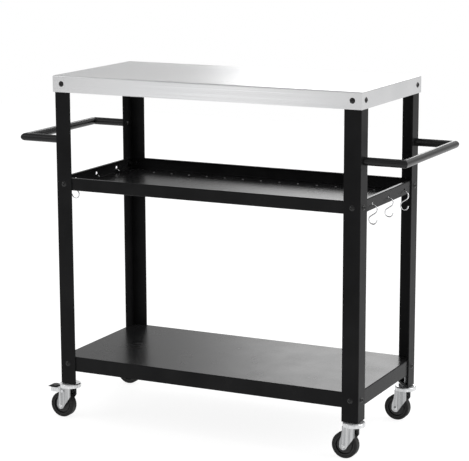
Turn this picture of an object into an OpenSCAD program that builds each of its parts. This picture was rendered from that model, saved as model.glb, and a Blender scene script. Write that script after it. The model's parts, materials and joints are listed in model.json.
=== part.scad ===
// Cart on four casters: sheet steel top, tray and shelf on four angle legs,
// a tube handle and three hooks at each end. Millimetres, Z up, floor at z = 0,
// origin on the floor under the middle of the top. The front faces minus Y.

/* [Top] */
// Length of the top
top_length = 800; // [500:10:1400]
// Depth of the top, front to back
top_depth = 372; // [260:2:700]
// Height of the top's upper face above the floor
top_height = 854; // [600:1:1000]
// Height of the skirt folded down round the top
top_skirt = 40; // [20:1:80]
// Thickness of the top's sheet
top_sheet_t = 1.5; // [0.8:0.1:3]
// Height of the skirt edge folded back inside
top_hem = 30; // [8:1:36]
// Outer radius of the top's folds
top_fold_r = 3; // [2:0.5:6]

/* [Legs] */
// Width of each leg flange
leg_flange = 41; // [25:1:60]
// Thickness of the leg's steel
leg_t = 3; // [2:0.5:5]
// Gap between the wheels' tops and the legs' lower ends
leg_foot = 27; // [24:0.5:164]

/* [Tray and shelf] */
// Thickness of the tray's and shelf's sheet
sheet_t = 1.2; // [0.8:0.1:2]
// Outer radius of the tray's and shelf's folds
sheet_fold_r = 2.4; // [1.5:0.1:5]
// Depth of the tray's rim below the top's upper face
tray_rim = 248; // [94:1:554]
// Height of the tray, rim to underside
tray_deep = 30; // [20:1:120]
// Width of the tray's lip turned in at the rim
tray_lip = 8.5; // [3:0.5:20]
// Height of the tray's holes above its underside
hole_up = 13; // [8:0.5:20]
// Diameter of the tray's holes
hole_d = 9; // [5:0.5:12]
// Distance between the hook holes
hook_pitch = 100; // [40:5:120]
// Hooks at each end
hook_count = 3; // [1:1:3]
// Raised points in the row along the back of the tray's floor
point_count = 13; // [1:1:24]
// Distance of the row of points from the tray's back
point_in = 45; // [20:1:80]
// Distance of the row's ends from the tray's ends
point_end = 91; // [20:1:150]
// Diameter of each point at the floor
point_d = 6; // [3:0.5:10]
// Height of each point
point_h = 1.5; // [0.8:0.1:2.5]
// Height of the shelf's top above the floor
shelf_top = 160; // [130:1:400]
// Height of the shelf's skirt
shelf_skirt = 36.6; // [20:0.2:60]

/* [Handles] */
// Outer diameter of the handle tube
tube_d = 19; // [12:0.5:30]
// Wall of the handle tube
tube_wall = 1.5; // [1:0.1:3]
// Depth of the handle tube's centre below the top's upper face
handle_height = 157.3; // [54:0.1:234]
// How far the handle's outer side stands out from the leg
handle_reach = 106.9; // [50:0.1:150]

/* [Hooks] */
// Diameter of the hook wire
wire_d = 2.8; // [2:0.1:4]
// Radius of the hook's curls at the middle of the wire
curl_r = 10; // [7:0.5:14]
// Distance between the centres of the two curls
curl_gap = 24.3; // [21:0.1:40]
// How far the curl's centre stands outside the tray's wall
curl_out = 0.8; // [0:0.1:2]

/* [Screws] */
// Diameter of the frame screws
screw_d = 6; // [4:1:8]
// Length of the frame screws under the head
screw_length = 14; // [10:1:20]
// Diameter of the screw heads
head_d = 13.6; // [9:0.2:16]
// Height of the domed screw heads
head_h = 3.3; // [2:0.1:5]
// Height of the tray's screws above its underside
tray_screw_up = 15; // [10:0.5:20]

/* [Casters] */
// Diameter of the wheel
wheel_d = 63.5; // [50:0.5:125]
// Width of the tyre
tyre_w = 20; // [15:1:32]
// How far the axle trails behind the swivel
trail = 20; // [10:0.5:40]
// Distance of the swivel from the outer faces of the leg
stem_in = 16.5; // [12:0.5:25]
// Diameter of the stem
stem_d = 8; // [6:1:12]
// Height of the stem's upper end above the foot of the leg
stem_up = 22; // [16:0.5:30]
// Outer diameter of the head cup
cup_d = 53; // [40:1:70]
// Height of the head cup
cup_h = 10; // [8:0.5:16]
// Outer width of the fork
fork_w = 33; // [28:0.5:45]
// Thickness of the fork's and the cup's steel
fork_t = 2; // [1.5:0.1:3]
// Balls in each caster head
ball_count = 16; // [8:1:20]
// Diameter of the balls
ball_d = 6; // [4:0.5:7]

/* [Hidden] */
$fn = 64;
// one overrun for every cut
over = 1;
// clearance of a shaft in its hole, on the radius
fit = 0.05;
// gap between faces that pass each other
run = 0.3;
half = 1 / 2;
quarter_turn = 90;
full_turn = 360;
hex = 6;

// corner of the frame: outer faces of the legs and of the sheets between them
leg_x = top_length * half - 2 * top_sheet_t;
leg_y = top_depth * half - 2 * top_sheet_t;
pan_x = leg_x - leg_t;
pan_y = leg_y - leg_t;
leg_top = top_height - top_sheet_t;
skirt_foot = top_height - top_skirt;
tray_foot = top_height - tray_rim - tray_deep;
foot_z = wheel_d + leg_foot;
shelf_foot = shelf_top - shelf_skirt;

// screw places, at the middle of each flange
screw_x = leg_x - leg_flange * half;
screw_y = leg_y - leg_flange * half;
screw_r = screw_d * half;
top_screw_z = top_height - top_skirt * half;
tray_screw_z = tray_foot + tray_screw_up;
shelf_screw_z = shelf_top - shelf_skirt * half;
screw_hole_r = screw_r + run;
head_r = head_d * half;
socket_share = 0.34;
socket_deep_share = 0.6;
nut_share = 1.67;
nut_h_share = 0.83;
nut_flat = screw_d * nut_share;
nut_h = screw_d * nut_h_share;

// tray holes
hole_z = tray_foot + hole_up;
hole_r = hole_d * half;

// raised points: caps of a ball, pressed up from below
point_ball_r = (pow(point_d * half, 2) + pow(point_h, 2)) / (2 * point_h);
point_pitch = 2 * (pan_x - point_end) / max(point_count - 1, 1);

// handle
tube_r = tube_d * half;
tube_bore_r = tube_r - tube_wall;
handle_z = top_height - handle_height;
bar_x = leg_x + handle_reach - tube_r;
plug_length = 18;
handle_screw_length = 16;

// hooks: the wire hangs over the lower edge of its hole
wire_r = wire_d * half;
bead_over = 0.02;
bead_r = wire_r + bead_over;
hang_gap = 0.1;
curl_x = pan_x + curl_out;
wall_reach = sheet_t + curl_out;
curl_under = sqrt(pow(curl_r - wire_r, 2) - pow(wall_reach, 2));
curl_z = hole_z - hole_r + hang_gap - curl_under;
cross_angle = asin(2 * curl_r / curl_gap);
cross_length = sqrt(pow(curl_gap, 2) - pow(2 * curl_r, 2));
tip_angle = 150;
open_angle = 354;

// casters
stem_x = leg_x - stem_in;
stem_y = leg_y - stem_in;
stem_r = stem_d * half;
plate_t = 5;
plate_edge = 3.5;
collar_h = 1.5;
collar_r = 9;
cup_top = foot_z - collar_h;
cup_r = cup_d * half;
cup_foot = cup_top - cup_h;
cup_shoulder = 3.5;
cup_wall_r = cup_r - fork_t;
cup_ceiling = cup_top - fork_t;
ball_r = ball_d * half;
ball_gap = 0.1;
ball_z = cup_ceiling - ball_gap - ball_r;
ball_ring = cup_wall_r - run - ball_r;
crown_z = ball_z - ball_r - ball_gap;
crown_r = cup_wall_r - run * 2;
dome_r = ball_ring - ball_r - run;
dome_h = 3;
dome_under = crown_z + dome_h - fork_t;
pin_head_r = 7;
pin_head_h = 3;
pin_head_z = dome_under - run - pin_head_h;

// wheel
wheel_r = wheel_d * half;
tyre_deep = 7.25;
tyre_seat_r = wheel_r - tyre_deep;
tyre_shoulder = 3;
key_h = 2;
key_w = 6;
rim_t = 2.5;
rim_in = 0.5;
rim_w = tyre_w - 2 * rim_in;
web_t = 7;
disc_in = 5.5;
disc_r = tyre_seat_r - disc_in;
disc_w = 15;
boss_r = 9;
axle_r = 3;
axle_tube_r = 4.5;
axle_hole_r = axle_r + fit;
fork_in = fork_w - 2 * fork_t;
boss_gap = 0.7;
boss_w = fork_in - 2 * boss_gap;
axle_head_r = 5;
axle_head_h = 2.6;
axle_nut_h = 5;
axle_nut_flat = 10;

// side outline of the fork, from the swivel and the floor: heights are shares of
// the height from the axle to the crown, the rear edge's places are shares of the
// way back from the neck to the eye, and the last pair are shares of the eye's radius
eye_r = 9.5;
fork_bend = 3;
fork_rear = -23;
fork_front = 7.5;
fork_knee = 0.2;
fork_high = crown_z - wheel_r;
fork_end = -trail - eye_r - over;
fork_back = trail + eye_r + fork_rear;
neck_share = 0.739;
waist_share = 0.474;
calf_share = 0.229;
knee_share = 0.258;
waist_back_share = 0.3;
calf_back_share = 0.92;
eye_front_share = 0.86;
eye_low_share = 0.425;
waist_z = wheel_r + fork_high * waist_share;
fork_side =
[
    [fork_rear, crown_z],
    [fork_rear, wheel_r + fork_high * neck_share],
    [fork_rear - fork_back * waist_back_share, waist_z],
    [fork_rear - fork_back * calf_back_share, wheel_r + fork_high * calf_share],
    [-trail - eye_r, wheel_r],
    [eye_r * eye_front_share - trail, wheel_r - eye_r * eye_low_share],
    [fork_knee, wheel_r + fork_high * knee_share],
    [fork_front, waist_z],
    [fork_front, crown_z]
];

// upright rib pressed out of each side of the fork
rib_x = -6.5;
rib_w = 5;
rib_h = 0.8;
rib_drop = 4;
rib_r = (pow(rib_w * half, 2) + pow(rib_h, 2)) / (2 * rib_h);

// brake: a lever on a pin between the fork plates, with a pedal on its rear end
brake_pin_r = 2;
brake_pin_x = -14;
brake_pin_up = 5;
brake_pin_z = wheel_d + brake_pin_up;
brake_pin_end = 1.5;
brake_pin_cap_r = 3.5;
lever_gap = 0.5;
lever_w = fork_in - 2 * lever_gap;
lever_t = 1.5;
lever_eye_r = 4.5;
lever_bend = 2.5;
lever_up = 6.5;
lever_clear = 2;
lever_top_z = min(brake_pin_z + lever_up, cup_foot - lever_clear);
lever_foot_z = brake_pin_z - lever_eye_r;
lever_deep = lever_top_z - lever_foot_z;
lever_rear = -48;
lever_rise = 0.5;
lever_side =
[
    [brake_pin_x, brake_pin_z + lever_eye_r],
    [brake_pin_x - lever_eye_r * 2, lever_top_z],
    [lever_rear, lever_top_z],
    [lever_rear, lever_foot_z + lever_rise],
    [brake_pin_x, lever_foot_z]
];
shoe_x = -32;
shoe_l = 5;
shoe_gap = 0.8;
shoe_foot = wheel_d + shoe_gap;

// pedal: its side is given in shares of its length and height, from its rear end
pedal_w = 25;
pedal_l = 23;
pedal_h = 3.6;
pedal_over = 9;
pedal_rear = lever_rear - pedal_over;
pedal_shares =
[
    [0, 0.12],
    [0, 0.38],
    [0.1, 0.7],
    [0.42, 1],
    [0.83, 0.89],
    [1, 0.5],
    [1, 0],
    [0.3, 0]
];
pedal_side = [for (p = pedal_shares) [pedal_rear + pedal_l * p[0], lever_top_z + pedal_h * p[1]]];
clip_w = 22;
clip_l = 6;
clip_t = 1.5;
clip_side =
[
    [lever_rear - clip_t, lever_top_z + clip_t],
    [lever_rear - clip_t, lever_top_z - lever_t - clip_t],
    [lever_rear + clip_l, lever_top_z - lever_t - clip_t],
    [lever_rear + clip_l, lever_top_z - lever_t],
    [lever_rear, lever_top_z - lever_t],
    [lever_rear, lever_top_z + clip_t]
];

module steel() { color([0.78, 0.79, 0.8]) children(); }
module zinc() { color([0.68, 0.7, 0.72]) children(); }
module coat() { color([0.1, 0.1, 0.11]) children(); }
module plastic() { color([0.07, 0.07, 0.08]) children(); }
module rubber() { color([0.13, 0.13, 0.13]) children(); }

// copies a piece of the back right corner to all four corners
module corners()
{
    for (a = [0, 1])
        for (b = [0, 1])
            mirror([a, 0, 0]) mirror([0, b, 0]) children();
}

// turns something that points up so that it points along plus Y, or along plus X
module along_y() { rotate([-quarter_turn, 0, 0]) children(); }
module along_x() { rotate([0, quarter_turn, 0]) children(); }

// section with its two upper corners rounded, standing on zero
module arch(w, h, r)
{
    translate([-w * half, 0]) square([w, h - r]);
    translate([r - w * half, 0]) square([w - 2 * r, h]);
    for (s = [-1, 1]) translate([s * (w * half - r), h - r]) circle(r);
}

// section with all four corners rounded, standing on zero
module lozenge(w, h, r)
{
    translate([-w * half, r]) square([w, h - 2 * r]);
    translate([r - w * half, 0]) square([w - 2 * r, h]);
    for (s = [-1, 1])
        for (z = [r, h - r]) translate([s * (w * half - r), z]) circle(r);
}

// block whose upper edges are rounded, mitred at the corners
module arched_block(l, d, h, r)
{
    intersection()
    {
        translate([0, d * half, 0]) rotate([quarter_turn, 0, 0]) linear_extrude(d) arch(l, h, r);
        translate([-l * half, 0, 0]) rotate([quarter_turn, 0, quarter_turn])
            linear_extrude(l) arch(d, h, r);
    }
}

// the same with its lower edges rounded too
module rounded_block(l, d, h, r)
{
    intersection()
    {
        translate([0, d * half, 0]) rotate([quarter_turn, 0, 0]) linear_extrude(d) lozenge(l, h, r);
        translate([-l * half, 0, 0]) rotate([quarter_turn, 0, quarter_turn])
            linear_extrude(l) lozenge(d, h, r);
    }
}

module middle_block(l, d, h)
{
    translate([-l * half, -d * half, 0]) cube([l, d, h]);
}

// screw holes through the flanges or skirts of all four corners at one height
module corner_holes(z)
{
    for (s = [-1, 1])
    {
        translate([s * screw_x, -top_depth, z]) along_y() cylinder(r = screw_hole_r, h = 2 * top_depth);
        translate([-top_length, s * screw_y, z]) along_x() cylinder(r = screw_hole_r, h = 2 * top_length);
    }
}

module top_sheet()
{
    hem_l = 2 * leg_x;
    hem_d = 2 * leg_y;
    inner_l = top_length - 2 * top_sheet_t;
    inner_d = top_depth - 2 * top_sheet_t;
    steel() difference()
    {
        translate([0, 0, skirt_foot]) arched_block(top_length, top_depth, top_skirt, top_fold_r);
        translate([0, 0, skirt_foot - over]) middle_block(hem_l, hem_d, top_hem + 2 * over);
        translate([0, 0, skirt_foot + top_hem])
            arched_block(inner_l, inner_d, top_skirt - top_hem - top_sheet_t, top_fold_r - top_sheet_t);
        corner_holes(top_screw_z);
    }
}

// leg section: outer corner at zero, rounded by the thickness of the steel
module leg_section()
{
    translate([-leg_flange, -leg_t]) square([leg_flange - leg_t, leg_t]);
    translate([-leg_t, -leg_flange]) square([leg_t, leg_flange - leg_t]);
    translate([-leg_t, -leg_t]) intersection()
    {
        circle(leg_t);
        square(leg_t);
    }
}

module leg()
{
    coat() difference()
    {
        translate([leg_x, leg_y, foot_z]) linear_extrude(leg_top - foot_z) leg_section();
        for (z = [top_screw_z, tray_screw_z, shelf_screw_z]) corner_holes(z);
        translate([0, screw_y, handle_z]) along_x() cylinder(r = screw_hole_r, h = top_length);
    }
}

module leg_front_left() { mirror([1, 0, 0]) mirror([0, 1, 0]) leg(); }
module leg_front_right() { mirror([0, 1, 0]) leg(); }
module leg_back_left() { mirror([1, 0, 0]) leg(); }
module leg_back_right() { leg(); }

// balls at the points' places, for the points themselves and for the hollows below them
module point_balls(r)
{
    for (i = [0 : point_count - 1])
        translate([i * point_pitch + point_end - pan_x, pan_y - point_in, tray_foot + sheet_t + point_h])
            translate([0, 0, -point_ball_r]) sphere(r);
}

module middle_tray()
{
    l = 2 * pan_x;
    d = 2 * pan_y;
    twice_t = 2 * sheet_t;
    side_row = hook_pitch * (hook_count - 1) * half;
    coat() difference()
    {
        union()
        {
            difference()
            {
                translate([0, 0, tray_foot]) rounded_block(l, d, tray_deep, sheet_fold_r);
                translate([0, 0, tray_foot + sheet_t])
                    rounded_block(l - twice_t, d - twice_t, tray_deep - twice_t, sheet_fold_r - sheet_t);
            }
            intersection()
            {
                point_balls(point_ball_r);
                translate([0, 0, tray_foot + sheet_t * half]) middle_block(l, d, tray_deep * half);
            }
        }
        point_balls(point_ball_r - sheet_t);
        translate([0, 0, tray_foot + tray_deep * half])
            middle_block(l - 2 * tray_lip, d - 2 * tray_lip, tray_deep);
        for (i = [0 : hook_count - 1])
            translate([-top_length * half, i * hook_pitch - side_row, hole_z])
                along_x() cylinder(r = hole_r, h = top_length);
        corner_holes(tray_screw_z);
    }
}

module bottom_shelf()
{
    l = 2 * pan_x;
    d = 2 * pan_y;
    twice_t = 2 * sheet_t;
    coat() difference()
    {
        translate([0, 0, shelf_foot]) arched_block(l, d, shelf_skirt, sheet_fold_r);
        translate([0, 0, shelf_foot - over])
            arched_block(l - twice_t, d - twice_t, shelf_skirt - sheet_t + over, sheet_fold_r - sheet_t);
        corner_holes(shelf_screw_z);
    }
}

// three straight runs of one radius, cut to mitres where they meet
module handle_runs(r, start)
{
    wide = r + over;
    bar_plan =
    [
        [bar_x + wide, screw_y + wide],
        [bar_x - wide, screw_y - wide],
        [bar_x - wide, wide - screw_y],
        [bar_x + wide, -wide - screw_y]
    ];
    arm_plan =
    [
        [start, screw_y + wide],
        [start, screw_y - wide],
        [bar_x - wide, screw_y - wide],
        [bar_x + wide, screw_y + wide]
    ];
    translate([0, 0, handle_z]) union()
    {
        intersection()
        {
            translate([bar_x, -top_depth * half, 0]) along_y() cylinder(r = r, h = top_depth);
            translate([0, 0, -wide]) linear_extrude(2 * wide) polygon(bar_plan);
        }
        for (m = [0, 1]) mirror([0, m, 0]) intersection()
        {
            translate([start, screw_y, 0]) along_x() cylinder(r = r, h = bar_x + 2 * wide - start);
            translate([0, 0, -wide]) linear_extrude(2 * wide) polygon(arm_plan);
        }
    }
}

module handle()
{
    coat() difference()
    {
        handle_runs(tube_r, leg_x);
        handle_runs(tube_bore_r, leg_x - over);
    }
}

module handle_left() { mirror([1, 0, 0]) handle(); }
module handle_right() { handle(); }

// domed head with a six-sided socket, and its shank pointing down
module screw(r, length, cap_r, cap_h)
{
    dome = (pow(cap_r, 2) + pow(cap_h, 2)) / (2 * cap_h);
    difference()
    {
        union()
        {
            intersection()
            {
                translate([0, 0, cap_h - dome]) sphere(dome);
                cylinder(r = cap_r, h = cap_h);
            }
            translate([0, 0, -length]) cylinder(r = r, h = length + cap_h * half);
        }
        translate([0, 0, cap_h * (1 - socket_deep_share)])
            cylinder(r = cap_r * socket_share, h = cap_h, $fn = hex);
    }
}

module nut(flat, h, bore)
{
    difference()
    {
        cylinder(r = flat * half / cos(full_turn / (2 * hex)), h = h, $fn = hex);
        translate([0, 0, -over]) cylinder(r = bore, h = h + 2 * over);
    }
}

module handle_plugs()
{
    zinc() corners() translate([leg_x, screw_y, handle_z]) along_x() difference()
    {
        cylinder(r = tube_bore_r - fit, h = plug_length);
        translate([0, 0, -over]) cylinder(r = screw_r + fit, h = plug_length + 2 * over);
    }
}

module handle_screws()
{
    coat() corners() translate([pan_x, screw_y, handle_z]) mirror([1, 0, 0]) along_x()
        screw(screw_r, handle_screw_length, head_r, head_h);
}

// one screw in each flange at all four corners, heads on the given faces
module corner_screws(face_x, face_y, z)
{
    coat() corners()
    {
        translate([screw_x, face_y, z]) along_y() screw(screw_r, screw_length, head_r, head_h);
        translate([face_x, screw_y, z]) along_x() screw(screw_r, screw_length, head_r, head_h);
    }
}

module top_bolts() { corner_screws(top_length * half, top_depth * half, top_screw_z); }
module tray_bolts() { corner_screws(leg_x, leg_y, tray_screw_z); }
module shelf_bolts() { corner_screws(leg_x, leg_y, shelf_screw_z); }

// nuts behind the screws, against the given inner faces
module corner_nuts(face_x, face_y, z)
{
    corners()
    {
        translate([screw_x, face_y - nut_h, z]) along_y() nut(nut_flat, nut_h, screw_r + fit);
        translate([face_x - nut_h, screw_y, z]) along_x() nut(nut_flat, nut_h, screw_r + fit);
    }
}

module frame_nuts()
{
    coat() union()
    {
        corner_nuts(pan_x, pan_y, top_screw_z);
        corner_nuts(pan_x - sheet_t, pan_y - sheet_t, tray_screw_z);
        corner_nuts(pan_x - sheet_t, pan_y - sheet_t, shelf_screw_z);
    }
}

// three-cornered plate in the foot of each leg, threaded for the stem
module foot_plates()
{
    side = leg_flange - leg_t;
    cut = 2 * (stem_in - leg_t) + sqrt(2) * (stem_r + plate_edge);
    coat() corners() difference()
    {
        translate([pan_x, pan_y, foot_z]) rotate([0, 0, 2 * quarter_turn])
            linear_extrude(plate_t) intersection()
            {
                square(side);
                polygon([[0, 0], [cut, 0], [0, cut]]);
            }
        translate([stem_x, stem_y, foot_z - over]) cylinder(r = stem_r + fit, h = plate_t + 2 * over);
    }
}

module caster_stems()
{
    zinc() corners() translate([stem_x, stem_y, 0]) union()
    {
        translate([0, 0, pin_head_z]) cylinder(r = stem_r, h = foot_z + stem_up - pin_head_z);
        translate([0, 0, pin_head_z]) cylinder(r = pin_head_r, h = pin_head_h);
        translate([0, 0, cup_top]) cylinder(r = collar_r, h = collar_h);
    }
}

// half section of the head cup, standing on its rim
module cup_section()
{
    flat_r = cup_r - cup_shoulder;
    wall_h = cup_h - cup_shoulder;
    difference()
    {
        union()
        {
            square([flat_r, cup_h]);
            square([cup_r, wall_h]);
            translate([flat_r, wall_h]) circle(cup_shoulder);
        }
        translate([0, -over]) square([flat_r, cup_h - fork_t + over]);
        translate([0, -over]) square([cup_wall_r, wall_h + over]);
        translate([flat_r, wall_h]) circle(cup_shoulder - fork_t);
        translate([0, -over]) square([stem_r + fit, cup_h + 2 * over]);
    }
}

module head_cups()
{
    zinc() corners() translate([stem_x, stem_y, cup_foot]) rotate_extrude() cup_section();
}

module race_balls()
{
    zinc() corners() translate([stem_x, stem_y, ball_z])
        for (i = [0 : ball_count - 1])
            rotate([0, 0, i * full_turn / ball_count]) translate([ball_ring, 0, 0]) sphere(ball_r);
}

// ring of wire from one angle to a later one
module curl(from, to)
{
    rotate([0, 0, from]) rotate_extrude(angle = to - from) translate([curl_r, 0]) circle(wire_r);
}

// ball a hair thicker than the wire, on the curl's ring, which closes an end or a joint
module bead(at)
{
    rotate([0, 0, at]) translate([curl_r, 0, 0]) sphere(bead_r);
}

// two curls and the straight wire between them, hung in the hole at y
module hook(y)
{
    steel() translate([curl_x, y, curl_z]) rotate([quarter_turn, 0, 0]) union()
    {
        curl(-cross_angle, tip_angle);
        bead(tip_angle);
        bead(-cross_angle);
        rotate([0, 0, -cross_angle]) translate([curl_r, 0, 0]) rotate([quarter_turn, 0, 0])
            cylinder(r = wire_r, h = cross_length);
        translate([0, -curl_gap, 0])
        {
            curl(2 * quarter_turn - cross_angle, open_angle);
            bead(open_angle);
            bead(2 * quarter_turn - cross_angle);
        }
    }
}

module hook_left_front() { mirror([1, 0, 0]) hook(-hook_pitch); }
module hook_left_middle() { mirror([1, 0, 0]) hook(0); }
module hook_left_back() { mirror([1, 0, 0]) hook(hook_pitch); }
module hook_right_front() { hook(-hook_pitch); }
module hook_right_middle() { hook(0); }
module hook_right_back() { hook(hook_pitch); }

// puts a caster piece, drawn about its swivel, under one leg
module under(side, end)
{
    translate([side * stem_x, end * stem_y, 0]) children();
}

// puts a piece drawn about its own axis on the axle, lying along Y
module on_axle()
{
    translate([-trail, 0, wheel_r]) along_y() children();
}

// draws a side outline from one side to the other of a given width
module across(w)
{
    translate([0, w * half, 0]) rotate([quarter_turn, 0, 0]) linear_extrude(w) children();
}

// folded channel, open below, of the length from rear to front
module channel(rear, front, w, top, deep, t, bend)
{
    translate([rear, 0, top - deep]) rotate([quarter_turn, 0, quarter_turn])
        linear_extrude(front - rear) difference()
        {
            arch(w, deep, bend);
            translate([0, -over]) arch(w - 2 * t, deep - t + over, bend - t);
        }
}

module fork_ribs()
{
    for (m = [0, 1]) mirror([0, m, 0]) intersection()
    {
        translate([rib_x, fork_w * half + rib_h - rib_r, 0]) cylinder(r = rib_r, h = crown_z - rib_drop);
        translate([rib_x - rib_w, (fork_w - fork_t) * half, 0]) cube([2 * rib_w, fork_w, crown_z]);
    }
}

module fork(braked)
{
    zinc() difference()
    {
        union()
        {
            translate([0, 0, crown_z - fork_t]) cylinder(r = crown_r, h = fork_t);
            translate([0, 0, crown_z - fork_t]) cylinder(r = dome_r, h = fork_t + dome_h);
            difference()
            {
                intersection()
                {
                    union()
                    {
                        channel(fork_end, fork_front, fork_w, crown_z, crown_z, fork_t, fork_bend);
                        fork_ribs();
                    }
                    across(2 * fork_w) union()
                    {
                        polygon(fork_side);
                        translate([-trail, wheel_r]) circle(eye_r);
                    }
                }
                translate([0, 0, cup_foot - run]) difference()
                {
                    cylinder(r = 2 * cup_r, h = 2 * cup_h);
                    translate([0, 0, -over]) cylinder(r = crown_r, h = 2 * cup_h + 2 * over);
                }
            }
        }
        translate([0, 0, dome_under - dome_h]) cylinder(r = dome_r - fork_t, h = dome_h);
        translate([0, 0, dome_under - over]) cylinder(r = stem_r + fit, h = cup_h);
        translate([0, -fork_w, 0]) on_axle() cylinder(r = axle_hole_r, h = 2 * fork_w);
        if (braked) translate([brake_pin_x, -fork_w, brake_pin_z]) along_y()
            cylinder(r = brake_pin_r + fit, h = 2 * fork_w);
    }
}

// half section of the hub from its axis, standing on its middle
module hub_section(share)
{
    square([boss_r, boss_w * share]);
    square([disc_r, disc_w * share]);
    square([tyre_seat_r, web_t * share]);
    translate([tyre_seat_r - rim_t, 0]) square([rim_t, rim_w * share]);
    square([tyre_seat_r + key_h, key_w * share]);
}

module hub()
{
    plastic() on_axle() difference()
    {
        rotate_extrude() union()
        {
            hub_section(half);
            mirror([0, 1]) hub_section(half);
        }
        translate([0, 0, -boss_w]) cylinder(r = axle_tube_r + fit, h = 2 * boss_w);
    }
}

module tyre()
{
    flank = tyre_w * half;
    rubber() on_axle() rotate_extrude() difference()
    {
        union()
        {
            translate([tyre_seat_r, tyre_shoulder - flank])
                square([wheel_r - tyre_seat_r, tyre_w - 2 * tyre_shoulder]);
            translate([tyre_seat_r, -flank])
                square([wheel_r - tyre_seat_r - tyre_shoulder, tyre_w]);
            for (s = [-1, 1])
                translate([wheel_r - tyre_shoulder, s * (flank - tyre_shoulder)]) circle(tyre_shoulder);
        }
        translate([0, -key_w * half]) square([tyre_seat_r + key_h, key_w]);
    }
}

module axle()
{
    zinc() on_axle() translate([0, 0, -fork_w * half]) mirror([0, 0, 1])
        screw(axle_r, fork_w + axle_nut_h + over, axle_head_r, axle_head_h);
}

module axle_tube()
{
    zinc() on_axle() difference()
    {
        translate([0, 0, -fork_in * half]) cylinder(r = axle_tube_r, h = fork_in);
        translate([0, 0, -fork_w]) cylinder(r = axle_hole_r, h = 2 * fork_w);
    }
}

module axle_nut()
{
    zinc() on_axle() translate([0, 0, fork_w * half]) nut(axle_nut_flat, axle_nut_h, axle_hole_r);
}

module brake_lever()
{
    zinc() difference()
    {
        union()
        {
            intersection()
            {
                channel(lever_rear, brake_pin_x, lever_w, lever_top_z, lever_deep, lever_t, lever_bend);
                across(2 * fork_w) polygon(lever_side);
            }
            for (m = [0, 1]) mirror([0, m, 0])
                translate([0, lever_w * half - lever_t, 0]) rotate([quarter_turn, 0, 0]) mirror([0, 0, 1])
                    linear_extrude(lever_t) union()
                    {
                        translate([brake_pin_x, brake_pin_z]) circle(lever_eye_r);
                        intersection()
                        {
                            polygon(lever_side);
                            translate([lever_rear, 0]) square([-lever_rear, lever_top_z - lever_bend]);
                        }
                    }
            translate([shoe_x, -lever_w * half + lever_t * half, shoe_foot])
                cube([shoe_l, lever_w - lever_t, lever_top_z - lever_t * half - shoe_foot]);
        }
        translate([brake_pin_x, -fork_w, brake_pin_z]) along_y()
            cylinder(r = brake_pin_r + fit, h = 2 * fork_w);
    }
}

// pad over the lever's rear end, with a narrower clip round the sheet's edge
module brake_pedal()
{
    plastic() union()
    {
        across(pedal_w) polygon(pedal_side);
        across(clip_w) polygon(clip_side);
    }
}

module brake_pin()
{
    zinc() translate([brake_pin_x, 0, brake_pin_z]) along_y() union()
    {
        cylinder(r = brake_pin_r, h = fork_w + 2 * brake_pin_end, center = true);
        for (m = [0, 1]) mirror([0, 0, m])
            translate([0, 0, fork_w * half]) cylinder(r = brake_pin_cap_r, h = brake_pin_end);
    }
}

module fork_front_left() { under(-1, -1) fork(true); }
module fork_front_right() { under(1, -1) fork(false); }
module fork_back_left() { under(-1, 1) fork(true); }
module fork_back_right() { under(1, 1) fork(false); }
module axle_front_left() { under(-1, -1) axle(); }
module axle_front_right() { under(1, -1) axle(); }
module axle_back_left() { under(-1, 1) axle(); }
module axle_back_right() { under(1, 1) axle(); }
module axle_tube_front_left() { under(-1, -1) axle_tube(); }
module axle_tube_front_right() { under(1, -1) axle_tube(); }
module axle_tube_back_left() { under(-1, 1) axle_tube(); }
module axle_tube_back_right() { under(1, 1) axle_tube(); }
module axle_nut_front_left() { under(-1, -1) axle_nut(); }
module axle_nut_front_right() { under(1, -1) axle_nut(); }
module axle_nut_back_left() { under(-1, 1) axle_nut(); }
module axle_nut_back_right() { under(1, 1) axle_nut(); }
module hub_front_left() { under(-1, -1) hub(); }
module hub_front_right() { under(1, -1) hub(); }
module hub_back_left() { under(-1, 1) hub(); }
module hub_back_right() { under(1, 1) hub(); }
module tyre_front_left() { under(-1, -1) tyre(); }
module tyre_front_right() { under(1, -1) tyre(); }
module tyre_back_left() { under(-1, 1) tyre(); }
module tyre_back_right() { under(1, 1) tyre(); }
module brake_lever_front() { under(-1, -1) brake_lever(); }
module brake_lever_back() { under(-1, 1) brake_lever(); }
module brake_pedal_front() { under(-1, -1) brake_pedal(); }
module brake_pedal_back() { under(-1, 1) brake_pedal(); }
module brake_pin_front() { under(-1, -1) brake_pin(); }
module brake_pin_back() { under(-1, 1) brake_pin(); }

top_sheet();
leg_front_left();
leg_front_right();
leg_back_left();
leg_back_right();
middle_tray();
bottom_shelf();
handle_left();
handle_right();
handle_plugs();
handle_screws();
top_bolts();
tray_bolts();
shelf_bolts();
frame_nuts();
foot_plates();
caster_stems();
head_cups();
race_balls();
hook_left_front();
hook_left_middle();
hook_left_back();
hook_right_front();
hook_right_middle();
hook_right_back();
fork_front_left();
fork_front_right();
fork_back_left();
fork_back_right();
axle_front_left();
axle_front_right();
axle_back_left();
axle_back_right();
axle_tube_front_left();
axle_tube_front_right();
axle_tube_back_left();
axle_tube_back_right();
axle_nut_front_left();
axle_nut_front_right();
axle_nut_back_left();
axle_nut_back_right();
hub_front_left();
hub_front_right();
hub_back_left();
hub_back_right();
tyre_front_left();
tyre_front_right();
tyre_back_left();
tyre_back_right();
brake_lever_front();
brake_lever_back();
brake_pedal_front();
brake_pedal_back();
brake_pin_front();
brake_pin_back();
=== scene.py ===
# %% [markdown]
# # A grill cart, from its imported frame to a finished picture
#
# The cart is a stainless top on four folded steel legs, with a tray, a shelf,
# a tube handle and three hooks at each end, and four small casters.
# The solids are already made. This lesson gives each one its surface,
# adds the fine forms that solids leave out, and sets camera, floor and light.
# All lengths are metres, +Z is up, and the front faces minus Y.

import json
import math

import bmesh
import bpy
from mathutils import Matrix, Vector


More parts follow.
